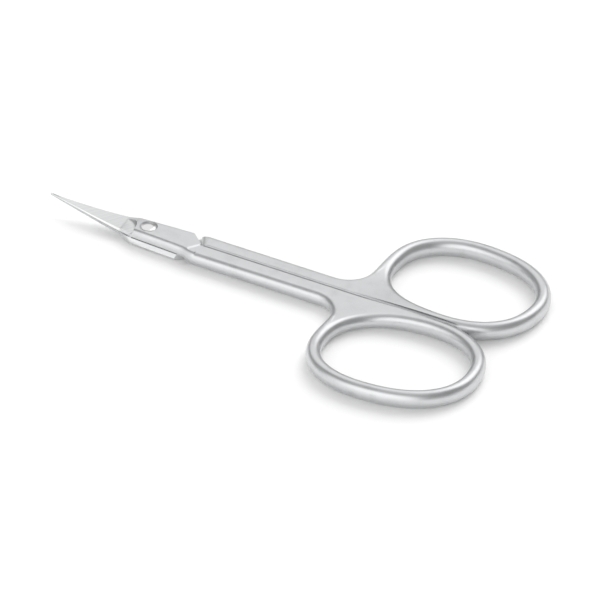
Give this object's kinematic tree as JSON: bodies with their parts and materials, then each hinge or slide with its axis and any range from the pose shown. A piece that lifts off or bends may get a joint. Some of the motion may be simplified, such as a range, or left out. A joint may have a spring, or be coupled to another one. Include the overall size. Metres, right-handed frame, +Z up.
{
  "type": "manicure scissors",
  "caption": "Slim cuticle scissors with curved pointed blades, long straight shanks, a lap joint on a countersunk pivot screw and oval finger rings.",
  "frame": {"origin": "middle of the closed scissors' box, on the surface that they lie on", "axes": "+X from the tips to the finger rings, +Y towards the lower half's ring, +Z up from the surface that they lie on"},
  "size_m": [0.1, 0.0536, 0.0039],
  "materials": {
    "satin_steel": "fine blasted satin, with ground blades",
    "polished_steel": "polished"
  },
  "bodies": {
    "upper_body": {"upper_half": "satin_steel", "pivot_screw": "polished_steel"},
    "lower_body": {"lower_half": "satin_steel"}
  },
  "joints": [
    {"name": "scissor_pivot", "type": "hinge", "parent": "upper_body", "child": "lower_body", "pos_m": [-0.02848, 0, 0], "axis": [0, 0, 1], "range_deg": [0, 60]}
  ]
}
